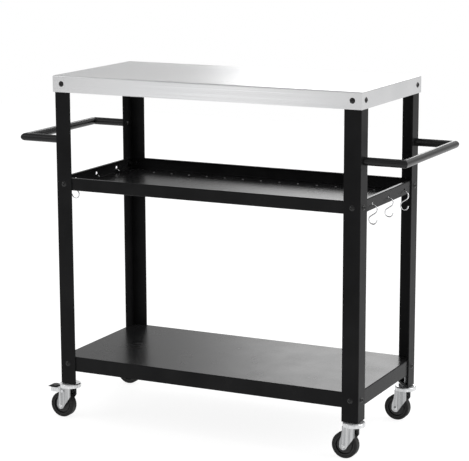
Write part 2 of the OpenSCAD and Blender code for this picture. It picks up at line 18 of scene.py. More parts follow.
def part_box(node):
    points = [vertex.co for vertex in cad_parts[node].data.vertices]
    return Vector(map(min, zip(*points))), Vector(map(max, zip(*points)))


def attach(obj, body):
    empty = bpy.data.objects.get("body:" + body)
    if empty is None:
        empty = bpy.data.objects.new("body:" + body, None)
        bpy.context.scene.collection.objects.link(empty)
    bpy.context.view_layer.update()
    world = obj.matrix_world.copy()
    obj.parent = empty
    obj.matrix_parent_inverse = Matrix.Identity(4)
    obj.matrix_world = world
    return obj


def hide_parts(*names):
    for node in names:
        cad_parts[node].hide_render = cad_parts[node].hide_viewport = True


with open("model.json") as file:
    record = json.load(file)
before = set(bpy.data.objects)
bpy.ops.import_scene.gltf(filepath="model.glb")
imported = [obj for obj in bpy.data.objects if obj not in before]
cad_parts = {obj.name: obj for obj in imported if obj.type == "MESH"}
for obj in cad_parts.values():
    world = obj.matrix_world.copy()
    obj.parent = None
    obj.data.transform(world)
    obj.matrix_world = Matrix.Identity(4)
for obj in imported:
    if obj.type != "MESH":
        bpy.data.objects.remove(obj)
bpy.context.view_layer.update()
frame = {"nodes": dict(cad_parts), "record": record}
nodes = frame["nodes"]

# %% [markdown]
# ## The camera
#
# The camera comes first, because every later choice is judged through it.
# It could be placed by eye. Fitting the straight edges of the top, legs, tray and
# shelf to the photograph is more exact, and puts it at the right front, a little
# above the top, with its middle slightly off the middle of the picture.

# %% Camera
FRAME_W, FRAME_H = 469, 461
FOCAL_PX = 1796.77
MIDDLE_PX = (259.18, 240.64)
SENSOR_W = 36.0
CAMERA_AT = (1.8931, -3.8493, 1.3244)
DOWN_DEG, TURN_DEG = 11.514, 25.472

camera_data = bpy.data.cameras.new("camera")
camera = bpy.data.objects.new("camera", camera_data)
bpy.context.scene.collection.objects.link(camera)
camera.location = CAMERA_AT
camera.rotation_euler = (math.radians(90 - DOWN_DEG), 0.0, math.radians(TURN_DEG))
camera_data.sensor_fit = "HORIZONTAL"
camera_data.sensor_width = SENSOR_W
camera_data.lens = FOCAL_PX * SENSOR_W / FRAME_W
camera_data.shift_x = (FRAME_W / 2 - MIDDLE_PX[0]) / FRAME_W
camera_data.shift_y = (MIDDLE_PX[1] - FRAME_H / 2) / FRAME_W
camera_data.clip_end = 100.0
bpy.context.scene.camera = camera
print("lens", round(camera_data.lens, 2), "mm")

# %% [markdown]
# ## Surfaces
#
# Each surface is a small network of nodes. Noise, stretched or fine, does what a
# brush, a spray gun or a mould does to the real piece: it breaks up the shine.
# Painted pictures could do that too, but noise has no seams, and its cells are
# counted per metre, so the grain keeps its real scale on every piece.


# %% A plain material, and how to feed it
def new_material(name, colour, metallic, roughness, specular=0.5):
    material = bpy.data.materials.new(name)
    material.use_nodes = True
    shader = material.node_tree.nodes["Principled BSDF"]
    shader.inputs["Base Color"].default_value = (*colour, 1.0)
    shader.inputs["Metallic"].default_value = metallic
    shader.inputs["Roughness"].default_value = roughness
    shader.inputs["Specular IOR Level"].default_value = specular
    return material, shader


def feed(material, value, socket):
    material.node_tree.links.new(value, socket)


print("a material is one shader until numbers are fed to it")


# %% Noise in real metres
def noise(material, cells, detail=4.0, rough=0.5):
    """Noise in the object's own metres; cells is one number, or one for each axis."""
    tree = material.node_tree
    place = tree.nodes.new("ShaderNodeTexCoord")
    scale = tree.nodes.new("ShaderNodeMapping")
    scale.inputs["Scale"].default_value = cells if hasattr(cells, "__len__") else (cells,) * 3
    texture = tree.nodes.new("ShaderNodeTexNoise")
    texture.inputs["Scale"].default_value = 1.0
    texture.inputs["Detail"].default_value = detail
    texture.inputs["Roughness"].default_value = rough
    tree.links.new(place.outputs["Object"], scale.inputs["Vector"])
    tree.links.new(scale.outputs["Vector"], texture.inputs["Vector"])
    return texture.outputs["Fac"]


def spread(material, value, low, high, start=0.3, end=0.7):
    """Turns noise into a number between low and high."""
    node = material.node_tree.nodes.new("ShaderNodeMapRange")
    node.inputs["From Min"].default_value = start
    node.inputs["From Max"].default_value = end
    node.inputs["To Min"].default_value = low
    node.inputs["To Max"].default_value = high
    material.node_tree.links.new(value, node.inputs["Value"])
    return node.outputs["Result"]


def bump(material, shader, value, depth, strength=1.0):
    """Raises the surface by value times depth, in metres."""
    node = material.node_tree.nodes.new("ShaderNodeBump")
    node.inputs["Distance"].default_value = depth
    node.inputs["Strength"].default_value = strength
    feed(material, value, node.inputs["Height"])
    feed(material, node.outputs["Normal"], shader.inputs["Normal"])


print("cells at 900 to the metre are", round(1000 / 900, 1), "mm wide")


# %% Mixing colours and numbers
def blend_colours(material, value, first, second):
    node = material.node_tree.nodes.new("ShaderNodeMix")
    node.data_type = "RGBA"
    node.inputs[6].default_value = (*first, 1.0)
    node.inputs[7].default_value = (*second, 1.0)
    material.node_tree.links.new(value, node.inputs[0])
    return node.outputs[2]


def blend_values(material, value, low, high):
    """Goes from one linked number to a fixed one as value goes from 0 to 1."""
    node = material.node_tree.nodes.new("ShaderNodeMix")
    node.data_type = "FLOAT"
    material.node_tree.links.new(value, node.inputs[0])
    material.node_tree.links.new(low, node.inputs[2])
    node.inputs[3].default_value = high
    return node.outputs[0]


def rub_colour(material, value, first, worn):
    """Lays a worn colour over a linked one."""
    node = material.node_tree.nodes.new("ShaderNodeMix")
    node.data_type = "RGBA"
    material.node_tree.links.new(value, node.inputs[0])
    material.node_tree.links.new(first, node.inputs[6])
    node.inputs[7].default_value = (*worn, 1.0)
    return node.outputs[2]


print("three ways to mix are ready")

# %% [markdown]
# ### Worn edges
#
# Edges are rubbed first, by hands, cloths and other things. They could be painted by
# hand, corner by corner. Here a node rounds the shading close to each corner, and where
# that differs from the true face, an edge is near. Patches of noise break the wear up,
# because an even line round every sheet would look drawn.

# %% Worn edges
CORNER, FLAT = 0.86, 0.985
PATCH_START, PATCH_FULL = 0.5, 0.66


def worn_edges(material, radius, cells):
    """A number that is 1 where an edge is rubbed: near a corner of the form, and in patches."""
    tree = material.node_tree
    rounded = tree.nodes.new("ShaderNodeBevel")
    rounded.samples = 4
    rounded.inputs["Radius"].default_value = radius
    true_face = tree.nodes.new("ShaderNodeNewGeometry")
    agree = tree.nodes.new("ShaderNodeVectorMath")
    agree.operation = "DOT_PRODUCT"
    tree.links.new(rounded.outputs["Normal"], agree.inputs[0])
    tree.links.new(true_face.outputs["Normal"], agree.inputs[1])
    near = spread(material, agree.outputs["Value"], 1.0, 0.0, CORNER, FLAT)
    patches = spread(material, noise(material, cells, 5.0, 0.65), 0.0, 1.0, PATCH_START, PATCH_FULL)
    both = tree.nodes.new("ShaderNodeMath")
    both.operation = "MULTIPLY"
    tree.links.new(near, both.inputs[0])
    tree.links.new(patches, both.inputs[1])
    return both.outputs[0]


print("wear starts where the shading turns by", round(math.degrees(math.acos(FLAT))), "degrees")

# %% [markdown]
# ### Stainless sheet
#
# The top is bought as a ground and lightly polished sheet. The belt leaves fine
# lines along its length, which stretch every reflection across them. A shader with a
# direction of its own would do that too. Noise in long cells was chosen, because it
# also shows the single lines and keeps the same direction on the folded skirt.

# %% Stainless sheet
LINES_PER_M = 900.0
stainless, shader = new_material("stainless", (0.8, 0.8, 0.81), 1.0, 0.3)
grain = noise(stainless, (3.0, LINES_PER_M, LINES_PER_M), 3.0)
clouds = noise(stainless, (2.5, 6.0, 6.0), 2.0)
rubbed = worn_edges(stainless, 0.0009, 160.0)
feed(stainless, blend_values(stainless, rubbed, spread(stainless, grain, 0.15, 0.25), 0.38),
     shader.inputs["Roughness"])
steel = blend_colours(stainless, spread(stainless, clouds, 0.0, 1.0), (0.7, 0.705, 0.715),
                      (0.77, 0.77, 0.775))
feed(stainless, rub_colour(stainless, rubbed, steel, (0.87, 0.87, 0.87)), shader.inputs["Base Color"])
bump(stainless, shader, grain, 0.00002, 0.35)
print("grain", LINES_PER_M, "lines to the metre across the sheet")

# %% [markdown]
# ### Black powder coat
#
# Legs, tray, shelf and handles are sprayed with powder and baked. The paint melts
# to a glossy black with a faint orange peel, and dust dulls it in soft patches.
# Edges get the thinnest paint and the most knocks, so they go grey and dull first.
# One paint could serve all, but tube, sheet and screw heads shine differently in the
# photograph, so a helper mixes four coats from the same recipe.


# %% Black powder coat
def powder_coat(name, low, high, peel, shine):
    material, shader = new_material(name, (0.012, 0.012, 0.013), 0.0, low, specular=shine)
    patches = noise(material, 14.0, 3.0)
    skin = noise(material, 420.0, 2.0)
    rubbed = worn_edges(material, 0.0007, 110.0)
    feed(material, blend_values(material, rubbed, spread(material, patches, low, high), 0.55),
         shader.inputs["Roughness"])
    paint = blend_colours(material, spread(material, patches, 0.0, 1.0), (0.010, 0.010, 0.0105),
                          (0.016, 0.016, 0.0165))
    feed(material, rub_colour(material, rubbed, paint, (0.09, 0.09, 0.088)), shader.inputs["Base Color"])
    bump(material, shader, skin, 0.00004, peel)
    return material


coat_legs = powder_coat("coat_legs", 0.34, 0.42, 0.3, 0.06)
coat_pans = powder_coat("coat_pans", 0.24, 0.28, 0.12, 0.07)
coat_tube = powder_coat("coat_tube", 0.22, 0.3, 0.2, 0.24)
coat_bolts = powder_coat("coat_bolts", 0.1, 0.18, 0.05, 0.3)
print("coats", [m.name for m in (coat_legs, coat_pans, coat_tube, coat_bolts)])

# %% [markdown]
# ### Zinc plate and wire
#
# Casters are pressed from thin steel and zinc plated: bright, with soft streaks
# from the bath. The streaks' pale and dark tones are also painted reflection: they
# stand in for the bands of the room mirrored in the round cups. A pure mirror would go
# black where the room is dark, so the plate is only part metal. The forks are drawn
# darker than the head cups, as the photograph shows them, with longer streaks; that
# darker copy of the plate is painted shade, the shade under the cups and legs. The
# hooks are bright drawn wire, with fine marks.


# %% Zinc plate
def zinc_plate(name, dark, pale, metallic, cells):
    material, shader = new_material(name, pale, metallic, 0.25)
    streaks_and_painted_bands = noise(material, cells, 3.0)
    rubbed = worn_edges(material, 0.0005, 240.0)
    feed(material, blend_values(material, rubbed, spread(material, streaks_and_painted_bands, 0.14, 0.32), 0.45),
         shader.inputs["Roughness"])
    # Pale and dark tones follow the streaks: partly bath streaks, partly painted reflection bands.
    plate = blend_colours(material, spread(material, streaks_and_painted_bands, 0.0, 1.0), dark, pale)
    feed(material, rub_colour(material, rubbed, plate, (0.45, 0.44, 0.42)), shader.inputs["Base Color"])
    bump(material, shader, noise(material, 700.0, 2.0), 0.00002, 0.3)
    return material


zinc = zinc_plate("zinc_plate", (0.6, 0.61, 0.62), (0.88, 0.885, 0.89), 0.65, (230.0, 230.0, 16.0))
# The forks are a darker copy of the same zinc plate; the darkness is painted shade, under the head cups
# and legs.
zinc_forks_painted_shade = zinc_plate("zinc_forks_painted_shade", (0.2, 0.205, 0.21), (0.6, 0.605, 0.61), 0.88,
                        (190.0, 190.0, 7.0))
print("zinc", zinc.name, zinc_forks_painted_shade.name)

# %% Drawn wire
wire, shader = new_material("drawn_wire", (0.7, 0.7, 0.71), 1.0, 0.2)
draw_marks = noise(wire, 900.0, 2.0)
feed(wire, spread(wire, draw_marks, 0.14, 0.28), shader.inputs["Roughness"])
feed(wire, blend_colours(wire, spread(wire, noise(wire, 300.0, 3.0), 0.0, 1.0),
                         (0.62, 0.62, 0.63), (0.78, 0.78, 0.79)), shader.inputs["Base Color"])
bump(wire, shader, draw_marks, 0.00001, 0.4)
print("wire", wire.name)

# %% [markdown]
# ### Rubber and plastic
#
# Tyres are dull moulded rubber, which dust turns a little grey. Hubs and pedals are
# moulded plastic with a fine matt skin. Both could share one black, but rubber is
# duller and its edges chalk, so each has its own roughness and its own fine bump.

# %% Rubber
rubber, shader = new_material("tyre_rubber", (0.03, 0.03, 0.03), 0.0, 0.6, specular=0.25)
dust = noise(rubber, 90.0, 4.0)
rubbed = worn_edges(rubber, 0.0012, 200.0)
feed(rubber, spread(rubber, dust, 0.5, 0.72), shader.inputs["Roughness"])
black = blend_colours(rubber, spread(rubber, dust, 0.0, 1.0), (0.012, 0.012, 0.012),
                      (0.024, 0.024, 0.0235))
feed(rubber, rub_colour(rubber, rubbed, black, (0.09, 0.09, 0.087)), shader.inputs["Base Color"])
bump(rubber, shader, noise(rubber, 1500.0, 2.0), 0.00006, 0.5)
print("rubber", rubber.name)


# %% Moulded plastic
def moulded(name, dark, pale, shine):
    material, shader = new_material(name, dark, 0.0, 0.42, specular=shine)
    rubbed = worn_edges(material, 0.0005, 260.0)
    flow = noise(material, 60.0, 3.0)
    feed(material, spread(material, flow, 0.34, 0.5), shader.inputs["Roughness"])
    mass = blend_colours(material, spread(material, flow, 0.0, 1.0), dark, pale)
    feed(material, rub_colour(material, rubbed, mass, (0.12, 0.12, 0.118)), shader.inputs["Base Color"])
    bump(material, shader, noise(material, 1200.0, 2.0), 0.00004, 0.4)
    return material


hub_plastic = moulded("hub_plastic", (0.024, 0.024, 0.0245), (0.038, 0.038, 0.038), 0.3)
pedal_plastic = moulded("pedal_plastic", (0.005, 0.005, 0.005), (0.009, 0.009, 0.009), 0.12)
print("plastics", hub_plastic.name, pedal_plastic.name)

# %% [markdown]
# ### Give every solid its surface
#
# The frame's record names a finish for each solid. Most take it as it is. The few
# whose shine differs from that of the rest of their kind are listed here.

# %% Give every solid its surface
CORNERS = ("front_left", "front_right", "back_left", "back_right")
FINISH = {
    "stainless": stainless,
    "black_coat": coat_legs,
    "zinc_steel": zinc,
    "wire": wire,
    "hub_plastic": hub_plastic,
    "pedal_plastic": pedal_plastic,
    "tyre_rubber": rubber,
}
SPECIAL = {
    "middle_tray": coat_pans,
    "bottom_shelf": coat_pans,
    "handle_left": coat_tube,
    "handle_right": coat_tube,
    "top_bolts": coat_bolts,
    "tray_bolts": coat_bolts,
    "shelf_bolts": coat_bolts,
    "handle_screws": coat_bolts,
}
for corner in CORNERS:
    SPECIAL["fork_" + corner] = zinc_forks_painted_shade
slot_of = {s["node"]: s["material_slot"] for s in frame["record"]["subparts"]}
for name, node in nodes.items():
    finish = SPECIAL.get(name, FINISH[slot_of[name]])
    if not node.material_slots:
        node.data.materials.append(finish)
    for place in node.material_slots:
        place.material = finish
print("surfaces on", len(nodes), "solids,", len(SPECIAL), "of them special")

# %% [markdown]
# ## Finer forms
#
# A few pieces have forms too fine or too soft for plain solids: tyres with rounded
# flanks and moulded rings, threads, a ribbed pedal, welds. Each is made here as a mesh
# in the solid's own place, and rides on the same moving body. Turned and moulded pieces
# are described by one outline, because that is how a lathe or a mould maker sees them.

# %% Tools for outlines and places
MM = 0.001


def arc(centre_r, centre_a, radius, start, end, steps=6):
    """Points of an arc in an outline of (radius, along) pairs; angles in degrees from outward."""
    points = []
    for i in range(steps + 1):
        turn = math.radians(start + (end - start) * i / steps)
        points.append((centre_r + radius * math.cos(turn), centre_a + radius * math.sin(turn)))
    return points


def mirrored(outline):
    return outline + [(r, -a) for r, a in reversed(outline)]


def along_y(centre):
    """Places a lathe's axis along Y through a point."""
    return Matrix.Translation(centre) @ Matrix.Rotation(math.radians(-90), 4, "X")


def middle(node):
    low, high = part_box(node)
    return (Vector(low) + Vector(high)) / 2


print("wheel centres", [tuple(round(v, 4) for v in middle("tyre_" + c)) for c in CORNERS])


# %% Tools for meshes
def turn_outline(work, outline, place, steps=96, closed=True):
    """Turns (radius, along) points about an axis; place maps the lathe's Z axis to the cart."""
    rings = []
    for i in range(steps):
        turn = 2 * math.pi * i / steps
        rings.append([work.verts.new(place @ Vector((r * math.cos(turn), r * math.sin(turn), a)))
                      for r, a in outline])
    count = len(outline)
    for i in range(steps):
        here, there = rings[i], rings[(i + 1) % steps]
        for j in range(count if closed else count - 1):
            k = (j + 1) % count
            work.faces.new((here[j], there[j], there[k], here[k]))


def join_rings(work, rows):
    """Closed rings of points, one row after the next, become a tube with both ends shut."""
    for lower, upper in zip(rows, rows[1:]):
        count = len(lower)
        for j in range(count):
            k = (j + 1) % count
            work.faces.new((lower[j], lower[k], upper[k], upper[j]))
    work.faces.new(rows[-1])
    work.faces.new(list(reversed(rows[0])))


def new_piece(name, work, material, body, crease=32.0):
    """Makes an object from a bmesh, shades it, and fixes it to its body."""
    mesh = bpy.data.meshes.new(name)
    bmesh.ops.recalc_face_normals(work, faces=work.faces)
    work.to_mesh(mesh)
    work.free()
    for face in mesh.polygons:
        face.use_smooth = True
    mesh.set_sharp_from_angle(angle=math.radians(crease))
    mesh.materials.append(material)
    obj = bpy.data.objects.new(name, mesh)
    bpy.context.scene.collection.objects.link(obj)
    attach(obj, body)
    print(name, len(mesh.polygons), "faces")
    return obj


# %% [markdown]
# ### Wheels
#
# A hub is moulded first, with a flat disc, a groove and a rim. The rubber tyre is then
# moulded round the rim. Its flanks have a shallow ring where the mould parts met,
# and its tread is a plain band between rounded shoulders. Both are round, so one half of
# each section is written down, mirrored, and turned about the axle.

# %% Sections of tyre and hub
WHEEL_R, SEAT_R, HALF_TYRE = 31.75 * MM, 24.5 * MM, 10.0 * MM
tyre_half = ([(SEAT_R, 2.9 * MM), (SEAT_R, 9.4 * MM)]
             + arc(SEAT_R + 0.9 * MM, 9.1 * MM, 0.9 * MM, 180, 90, 4)
             + [(26.6 * MM, HALF_TYRE), (26.9 * MM, 9.55 * MM), (27.5 * MM, 9.55 * MM),
                (27.8 * MM, HALF_TYRE)]
             + arc(WHEEL_R - 3.2 * MM, HALF_TYRE - 3.2 * MM, 3.2 * MM, 90, 8, 9)
             + [(WHEEL_R, 6.2 * MM), (WHEEL_R, 0.0)])
tyre_outline = ([(SEAT_R + 2.0 * MM, 0.0), (SEAT_R + 2.0 * MM, 2.9 * MM)] + tyre_half
                + [(r, -a) for r, a in reversed(tyre_half[:-1])] + [(SEAT_R + 2.0 * MM, -2.9 * MM)])
hub_half = ([(4.6 * MM, 13.8 * MM), (8.2 * MM, 13.8 * MM)]
            + arc(8.2 * MM, 13.0 * MM, 0.8 * MM, 90, 0, 4)
            + [(9.0 * MM, 8.2 * MM)]
            + arc(10.0 * MM, 8.5 * MM, 1.0 * MM, 180, 270, 4)
            + [(13.4 * MM, 7.5 * MM), (13.8 * MM, 7.15 * MM), (14.3 * MM, 7.15 * MM),
               (14.7 * MM, 7.5 * MM)]
            + arc(18.2 * MM, 6.7 * MM, 0.8 * MM, 90, 0, 4)
            + [(19.0 * MM, 3.6 * MM), (22.0 * MM, 3.6 * MM), (22.0 * MM, 9.1 * MM)]
            + arc(22.5 * MM, 9.0 * MM, 0.5 * MM, 180, 90, 3)
            + arc(23.9 * MM, 9.0 * MM, 0.5 * MM, 90, 0, 3)
            + [(SEAT_R - 0.05 * MM, 3.0 * MM), (SEAT_R + 1.9 * MM, 2.8 * MM)])
print("tyre", round(2 * WHEEL_R / MM, 1), "mm across,", len(tyre_outline), "points in its section")

# %% Wheels
TYRE_STEPS, HUB_STEPS = 128, 96
for corner in CORNERS:
    place = along_y(middle("tyre_" + corner))
    work = bmesh.new()
    turn_outline(work, tyre_outline, place, TYRE_STEPS)
    tyre = new_piece("rubber_tyre_" + corner, work, rubber, "wheel_" + corner)
    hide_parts("tyre_" + corner)
    work = bmesh.new()
    turn_outline(work, mirrored(hub_half), place, HUB_STEPS)
    hub = new_piece("moulded_hub_" + corner, work, hub_plastic, "wheel_" + corner)
    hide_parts("hub_" + corner)

# %% [markdown]
# ### Threaded stems
#
# Each caster hangs on one turned steel stem: a riveted head under the fork, a smooth
# kingpin in the head, a collar, and an M8 thread that screws into the plate in the leg's
# foot. The thread could be a bump in the surface, but its outline shows inside the leg,
# so it is a real ridge that climbs one pitch, 1.25 mm, in each turn.

# %% Outline of a stem
TRAIL, PLATE_Z = 20.0 * MM, 90.5 * MM
stem_low, stem_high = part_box("caster_stems")
pin_foot = stem_low[2]
shaft = [(0.0, pin_foot), (6.6 * MM, pin_foot), (7.0 * MM, pin_foot + 0.5 * MM),
         (7.0 * MM, pin_foot + 3.0 * MM), (4.0 * MM, pin_foot + 3.0 * MM),
         (4.0 * MM, PLATE_Z - 1.5 * MM), (8.6 * MM, PLATE_Z - 1.5 * MM),
         (9.0 * MM, PLATE_Z - 1.2 * MM), (9.0 * MM, PLATE_Z), (4.0 * MM, PLATE_Z),
         (3.4 * MM, PLATE_Z + 0.6 * MM), (0.0, PLATE_Z + 0.6 * MM)]
print("a stem is", round((stem_high[2] - pin_foot) / MM, 1), "mm long")

# %% Threaded stems
PITCH, THREAD_R, THREAD_DEEP = 1.25 * MM, 3.98 * MM, 0.6 * MM
TIP_LONG, TIP_START, TIP_NARROW = 1.2 * MM, 0.35, 0.14


def thread(work, x, y, low, high, steps=32, per_turn=8):
    """A ridged shaft from low to high, turned down a little at its upper tip."""
    rows = []
    levels = round((high - low) / PITCH * per_turn)
    for i in range(levels + 1):
        z = low + (high - low) * i / levels
        full = min(1.0, (high - z) / TIP_LONG + TIP_START)
        row = []
        for j in range(steps):
            phase = ((z - low) / PITCH - j / steps) % 1.0
            ridge = abs(2 * phase - 1)
            r = (THREAD_R - THREAD_DEEP * (1 - ridge)) * (1 - TIP_NARROW + TIP_NARROW * full)
            turn = 2 * math.pi * j / steps
            row.append(work.verts.new((x + r * math.cos(turn), y + r * math.sin(turn), z)))
        rows.append(row)
    join_rings(work, rows)


work = bmesh.new()
for corner in CORNERS:
    swivel = middle("tyre_" + corner) + Vector((TRAIL, 0.0, 0.0))
    turn_outline(work, shaft, Matrix.Translation((swivel.x, swivel.y, 0.0)), 48, closed=False)
    thread(work, swivel.x, swivel.y, PLATE_Z, stem_high[2])
bmesh.ops.remove_doubles(work, verts=work.verts, dist=1e-7)
stems = new_piece("threaded_stems", work, zinc, "frame", crease=40.0)
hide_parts("caster_stems")
print("thread turns on each stem", round((stem_high[2] - PLATE_Z) / PITCH, 1))

# %% [markdown]
# ### Brake pedals
#
# A pedal is a moulded pad clipped over the end of the steel lever. Its top is arched,
# ribs across it keep a shoe from slipping, and all its edges are rounded by the mould.
# It could be cut from a block, but its section is the same all along, so each part of
# it is an outline drawn out sideways. The outline is the solid's own, so the clip still
# grips the sheet from below.

# %% Outlines of pad, clip and ribs, in millimetres
PAD = [(-57.0, 75.43), (-57.0, 76.37), (-54.7, 77.52), (-47.34, 78.6), (-37.91, 78.2),
       (-34.0, 76.8), (-34.0, 75.0), (-50.1, 75.0)]
CLIP = [(-49.5, 76.0), (-49.5, 72.0), (-42.0, 72.0), (-42.0, 73.5), (-48.0, 73.5), (-48.0, 76.0)]
RIB_COUNT, RIB_FROM, RIB_PITCH = 5, -52.6, 3.1
CROWN_X, CROWN_Z, CROWN_FALL = -45.6, 78.6, 0.013


def rib(i):
    """One rib across the pad, sunk in it and standing a hair above its arch."""
    x = RIB_FROM + RIB_PITCH * i
    z = CROWN_Z - CROWN_FALL * (x - CROWN_X) ** 2
    return [(x, z - 1.2), (x + 1.3, z - 1.2), (x + 1.1, z + 0.02), (x + 0.2, z + 0.02)]


print("ribs", RIB_COUNT, "over", round(RIB_PITCH * (RIB_COUNT - 1), 1), "mm")

# %% Brake pedals
PAD_HALF, CLIP_HALF, RIB_HALF = 12.5 * MM, 11.0 * MM, 10.4 * MM
PAD_ROUND, CLIP_ROUND, RIB_ROUND = 0.45 * MM, 0.2 * MM, 0.15 * MM


def slab(work, outline, y, half_width, x0, rounding):
    """An outline in X and Z, in mm, drawn out along Y and rounded."""
    near = [work.verts.new((x0 + x * MM, y - half_width, z * MM)) for x, z in outline]
    far = [work.verts.new((x0 + x * MM, y + half_width, z * MM)) for x, z in outline]
    made = [work.faces.new(near), work.faces.new(list(reversed(far)))]
    count = len(outline)
    for i in range(count):
        j = (i + 1) % count
        made.append(work.faces.new((near[i], far[i], far[j], near[j])))
    edges = {e for f in made for e in f.edges}
    bmesh.ops.bevel(work, geom=list(edges), offset=rounding, segments=3, profile=0.5,
                    affect="EDGES")


for end, corner in (("front", "front_left"), ("back", "back_left")):
    centre = middle("tyre_" + corner)
    x0 = centre.x + TRAIL
    work = bmesh.new()
    slab(work, PAD, centre.y, PAD_HALF, x0, PAD_ROUND)
    slab(work, CLIP, centre.y, CLIP_HALF, x0, CLIP_ROUND)
    for i in range(RIB_COUNT):
        slab(work, rib(i), centre.y, RIB_HALF, x0, RIB_ROUND)
    pedal = new_piece("ribbed_pedal_" + end, work, pedal_plastic, "brake_" + end,
                      crease=50.0)
    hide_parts("brake_pedal_" + end)

# %% [markdown]
# ### Painted highlights on the points in the tray
#
# A row of small points stands up from the tray's floor near its back. Each gets a thin
# cap, a hair above the solid's own point, in a duller, greyer coat. The grey is a painted
# highlight: it stands for the light that the tops of the black domes catch. The coat's
# worn edges could not give it, because a smooth point has no edge.

# %% Painted highlight coat
painted_highlight_coat, shader = new_material("painted_highlight_coat", (0.1, 0.1, 0.1), 0.0, 0.5)
scratches_and_painted_highlight = noise(painted_highlight_coat, 900.0, 3.0)
feed(painted_highlight_coat, spread(painted_highlight_coat, scratches_and_painted_highlight, 0.35, 0.6), shader.inputs["Roughness"])
# The greys, from 0.07 to 0.2, are a painted highlight on the points' tops.
feed(painted_highlight_coat, blend_colours(painted_highlight_coat, spread(painted_highlight_coat, scratches_and_painted_highlight, 0.0, 1.0),
                                (0.07, 0.07, 0.07), (0.2, 0.2, 0.2)), shader.inputs["Base Color"])
bump(painted_highlight_coat, shader, scratches_and_painted_highlight, 0.00002, 0.4)
print("coat", painted_highlight_coat.name)

# %% Painted highlight points
POINT_BALL, POINT_COUNT, POINT_ROW, POINT_Y = 3.75 * MM, 13, 303.0 * MM, 135.0 * MM
POINT_TOP, CAP_LIFT = 578.7 * MM, 0.03 * MM
cap = [((POINT_BALL + CAP_LIFT) * math.sin(math.radians(a)),
        (POINT_BALL + CAP_LIFT) * math.cos(math.radians(a)) - POINT_BALL) for a in range(0, 50, 7)]
work = bmesh.new()
for i in range(POINT_COUNT):
    x = POINT_ROW * (2 * i / (POINT_COUNT - 1) - 1)
    # Each grey cap paints the highlight that a point's top catches.
    turn_outline(work, cap, Matrix.Translation((x, POINT_Y, POINT_TOP)), 24, closed=False)
bmesh.ops.remove_doubles(work, verts=work.verts, dist=1e-7)
new_piece("painted_highlight_points", work, painted_highlight_coat, "frame")
pitch = 2 * POINT_ROW / (POINT_COUNT - 1)
print("points", POINT_COUNT, "at a pitch of", round(pitch / MM, 1), "mm")

# %% [markdown]
# ### Welds
#
# The foot plates are welded inside the foot of each leg. A hand weld leaves a row of
# overlapping ripples along the corner, under the same black coat. A plain bead would do
# from far off. Here a ring of points walks along the corner and swells with each ripple.

# %% Welds
RIPPLE, WELD_R, SWELL, ROUND_STEPS = 1.6 * MM, 1.5 * MM, 0.14, 9
PLATE_TOP = PLATE_Z + 5.0 * MM
LEG_X, LEG_Y = 394 * MM, 180 * MM


def weld(work, start, end):
    """A rippled bead from start to end, which fades out at both."""
    start, end = Vector(start), Vector(end)
    line = end - start
    count = max(2, round(line.length / (RIPPLE / 6)))
    across = line.cross(Vector((0, 0, 1))).normalized()
    rows = []
    for i in range(count + 1):
        t = i / count
        swell = 1 + SWELL * math.cos(2 * math.pi * t * line.length / RIPPLE)
        fade = min(1.0, t * 8, (1 - t) * 8) ** 0.5 if 0 < t < 1 else 0.05
        r = WELD_R * swell * fade
        row = []
        for j in range(ROUND_STEPS):
            turn = math.pi * 2 * j / ROUND_STEPS
            offset = across * (r * math.cos(turn)) + Vector((0, 0, r * math.sin(turn)))
            row.append(work.verts.new(start + line * t + offset))
        rows.append(row)
    join_rings(work, rows)


work = bmesh.new()
for sx in (-1, 1):
    for sy in (-1, 1):
        weld(work, (sx * 360 * MM, sy * LEG_Y, PLATE_TOP), (sx * 390 * MM, sy * LEG_Y, PLATE_TOP))
        weld(work, (sx * LEG_X, sy * 146 * MM, PLATE_TOP), (sx * LEG_X, sy * 176 * MM, PLATE_TOP))
new_piece("foot_welds", work, coat_legs, "frame", crease=60.0)

# %% [markdown]
# ## Floor and light
#
# The cart stands on a plain pale floor in soft studio light. The floor reads as white
# paper, yet it must not light the cart from below like a lamp. So it gives little to
# soft light, and shows its full tone only to the camera and to shiny faces. A darker
# paint could do this as well, but then it would be grey in the picture too.


# %% Floor
def plain_grid(name, size, cuts):
    mesh = bpy.data.meshes.new(name)
    work = bmesh.new()
    bmesh.ops.create_grid(work, x_segments=cuts, y_segments=cuts, size=size)
    work.to_mesh(mesh)
    work.free()
    obj = bpy.data.objects.new(name, mesh)
    bpy.context.scene.collection.objects.link(obj)
    return obj


def seen(tree):
    """1 for rays that a viewer, a shiny face or clear glass sends out, 0 for soft light."""
    path = tree.nodes.new("ShaderNodeLightPath")
    value = path.outputs["Is Camera Ray"]
    for kind in ("Is Glossy Ray", "Is Transmission Ray"):
        larger = tree.nodes.new("ShaderNodeMath")
        larger.operation = "MAXIMUM"
        tree.links.new(value, larger.inputs[0])
        tree.links.new(path.outputs[kind], larger.inputs[1])
        value = larger.outputs[0]
    return value


floor = plain_grid("floor", 5.0, 4)
floor_material, shader = new_material("pale_floor", (0.34, 0.34, 0.34), 0.0, 0.9, specular=0.1)
shader.inputs["Emission Color"].default_value = (1.0, 1.0, 1.0, 1.0)
feed(floor_material, spread(floor_material, seen(floor_material.node_tree), 0.3, 0.85, 0.0, 1.0),
     shader.inputs["Emission Strength"])
floor.data.materials.append(floor_material)
print("floor", round(floor.dimensions.x, 1), "m wide")

# %% [markdown]
# ### The room
#
# Flat steel mirrors the part of the room behind it at a low angle, so the room makes
# the slow change from grey to white on the top, the tray and the shelf. It could be
# built from cards and walls. Here it is a tone for each direction, worked out by nodes:
# grey paper, darker on the side where the viewer stands, a bright strip low down behind
# the cart, and two faint glows that the skirts mirror. The camera itself sees white.

# %% Tools for the room
world = bpy.data.worlds.new("studio")
world.use_nodes = True
bpy.context.scene.world = world
tree = world.node_tree
tree.nodes.clear()
sky_way = tree.nodes.new("ShaderNodeTexCoord").outputs["Generated"]


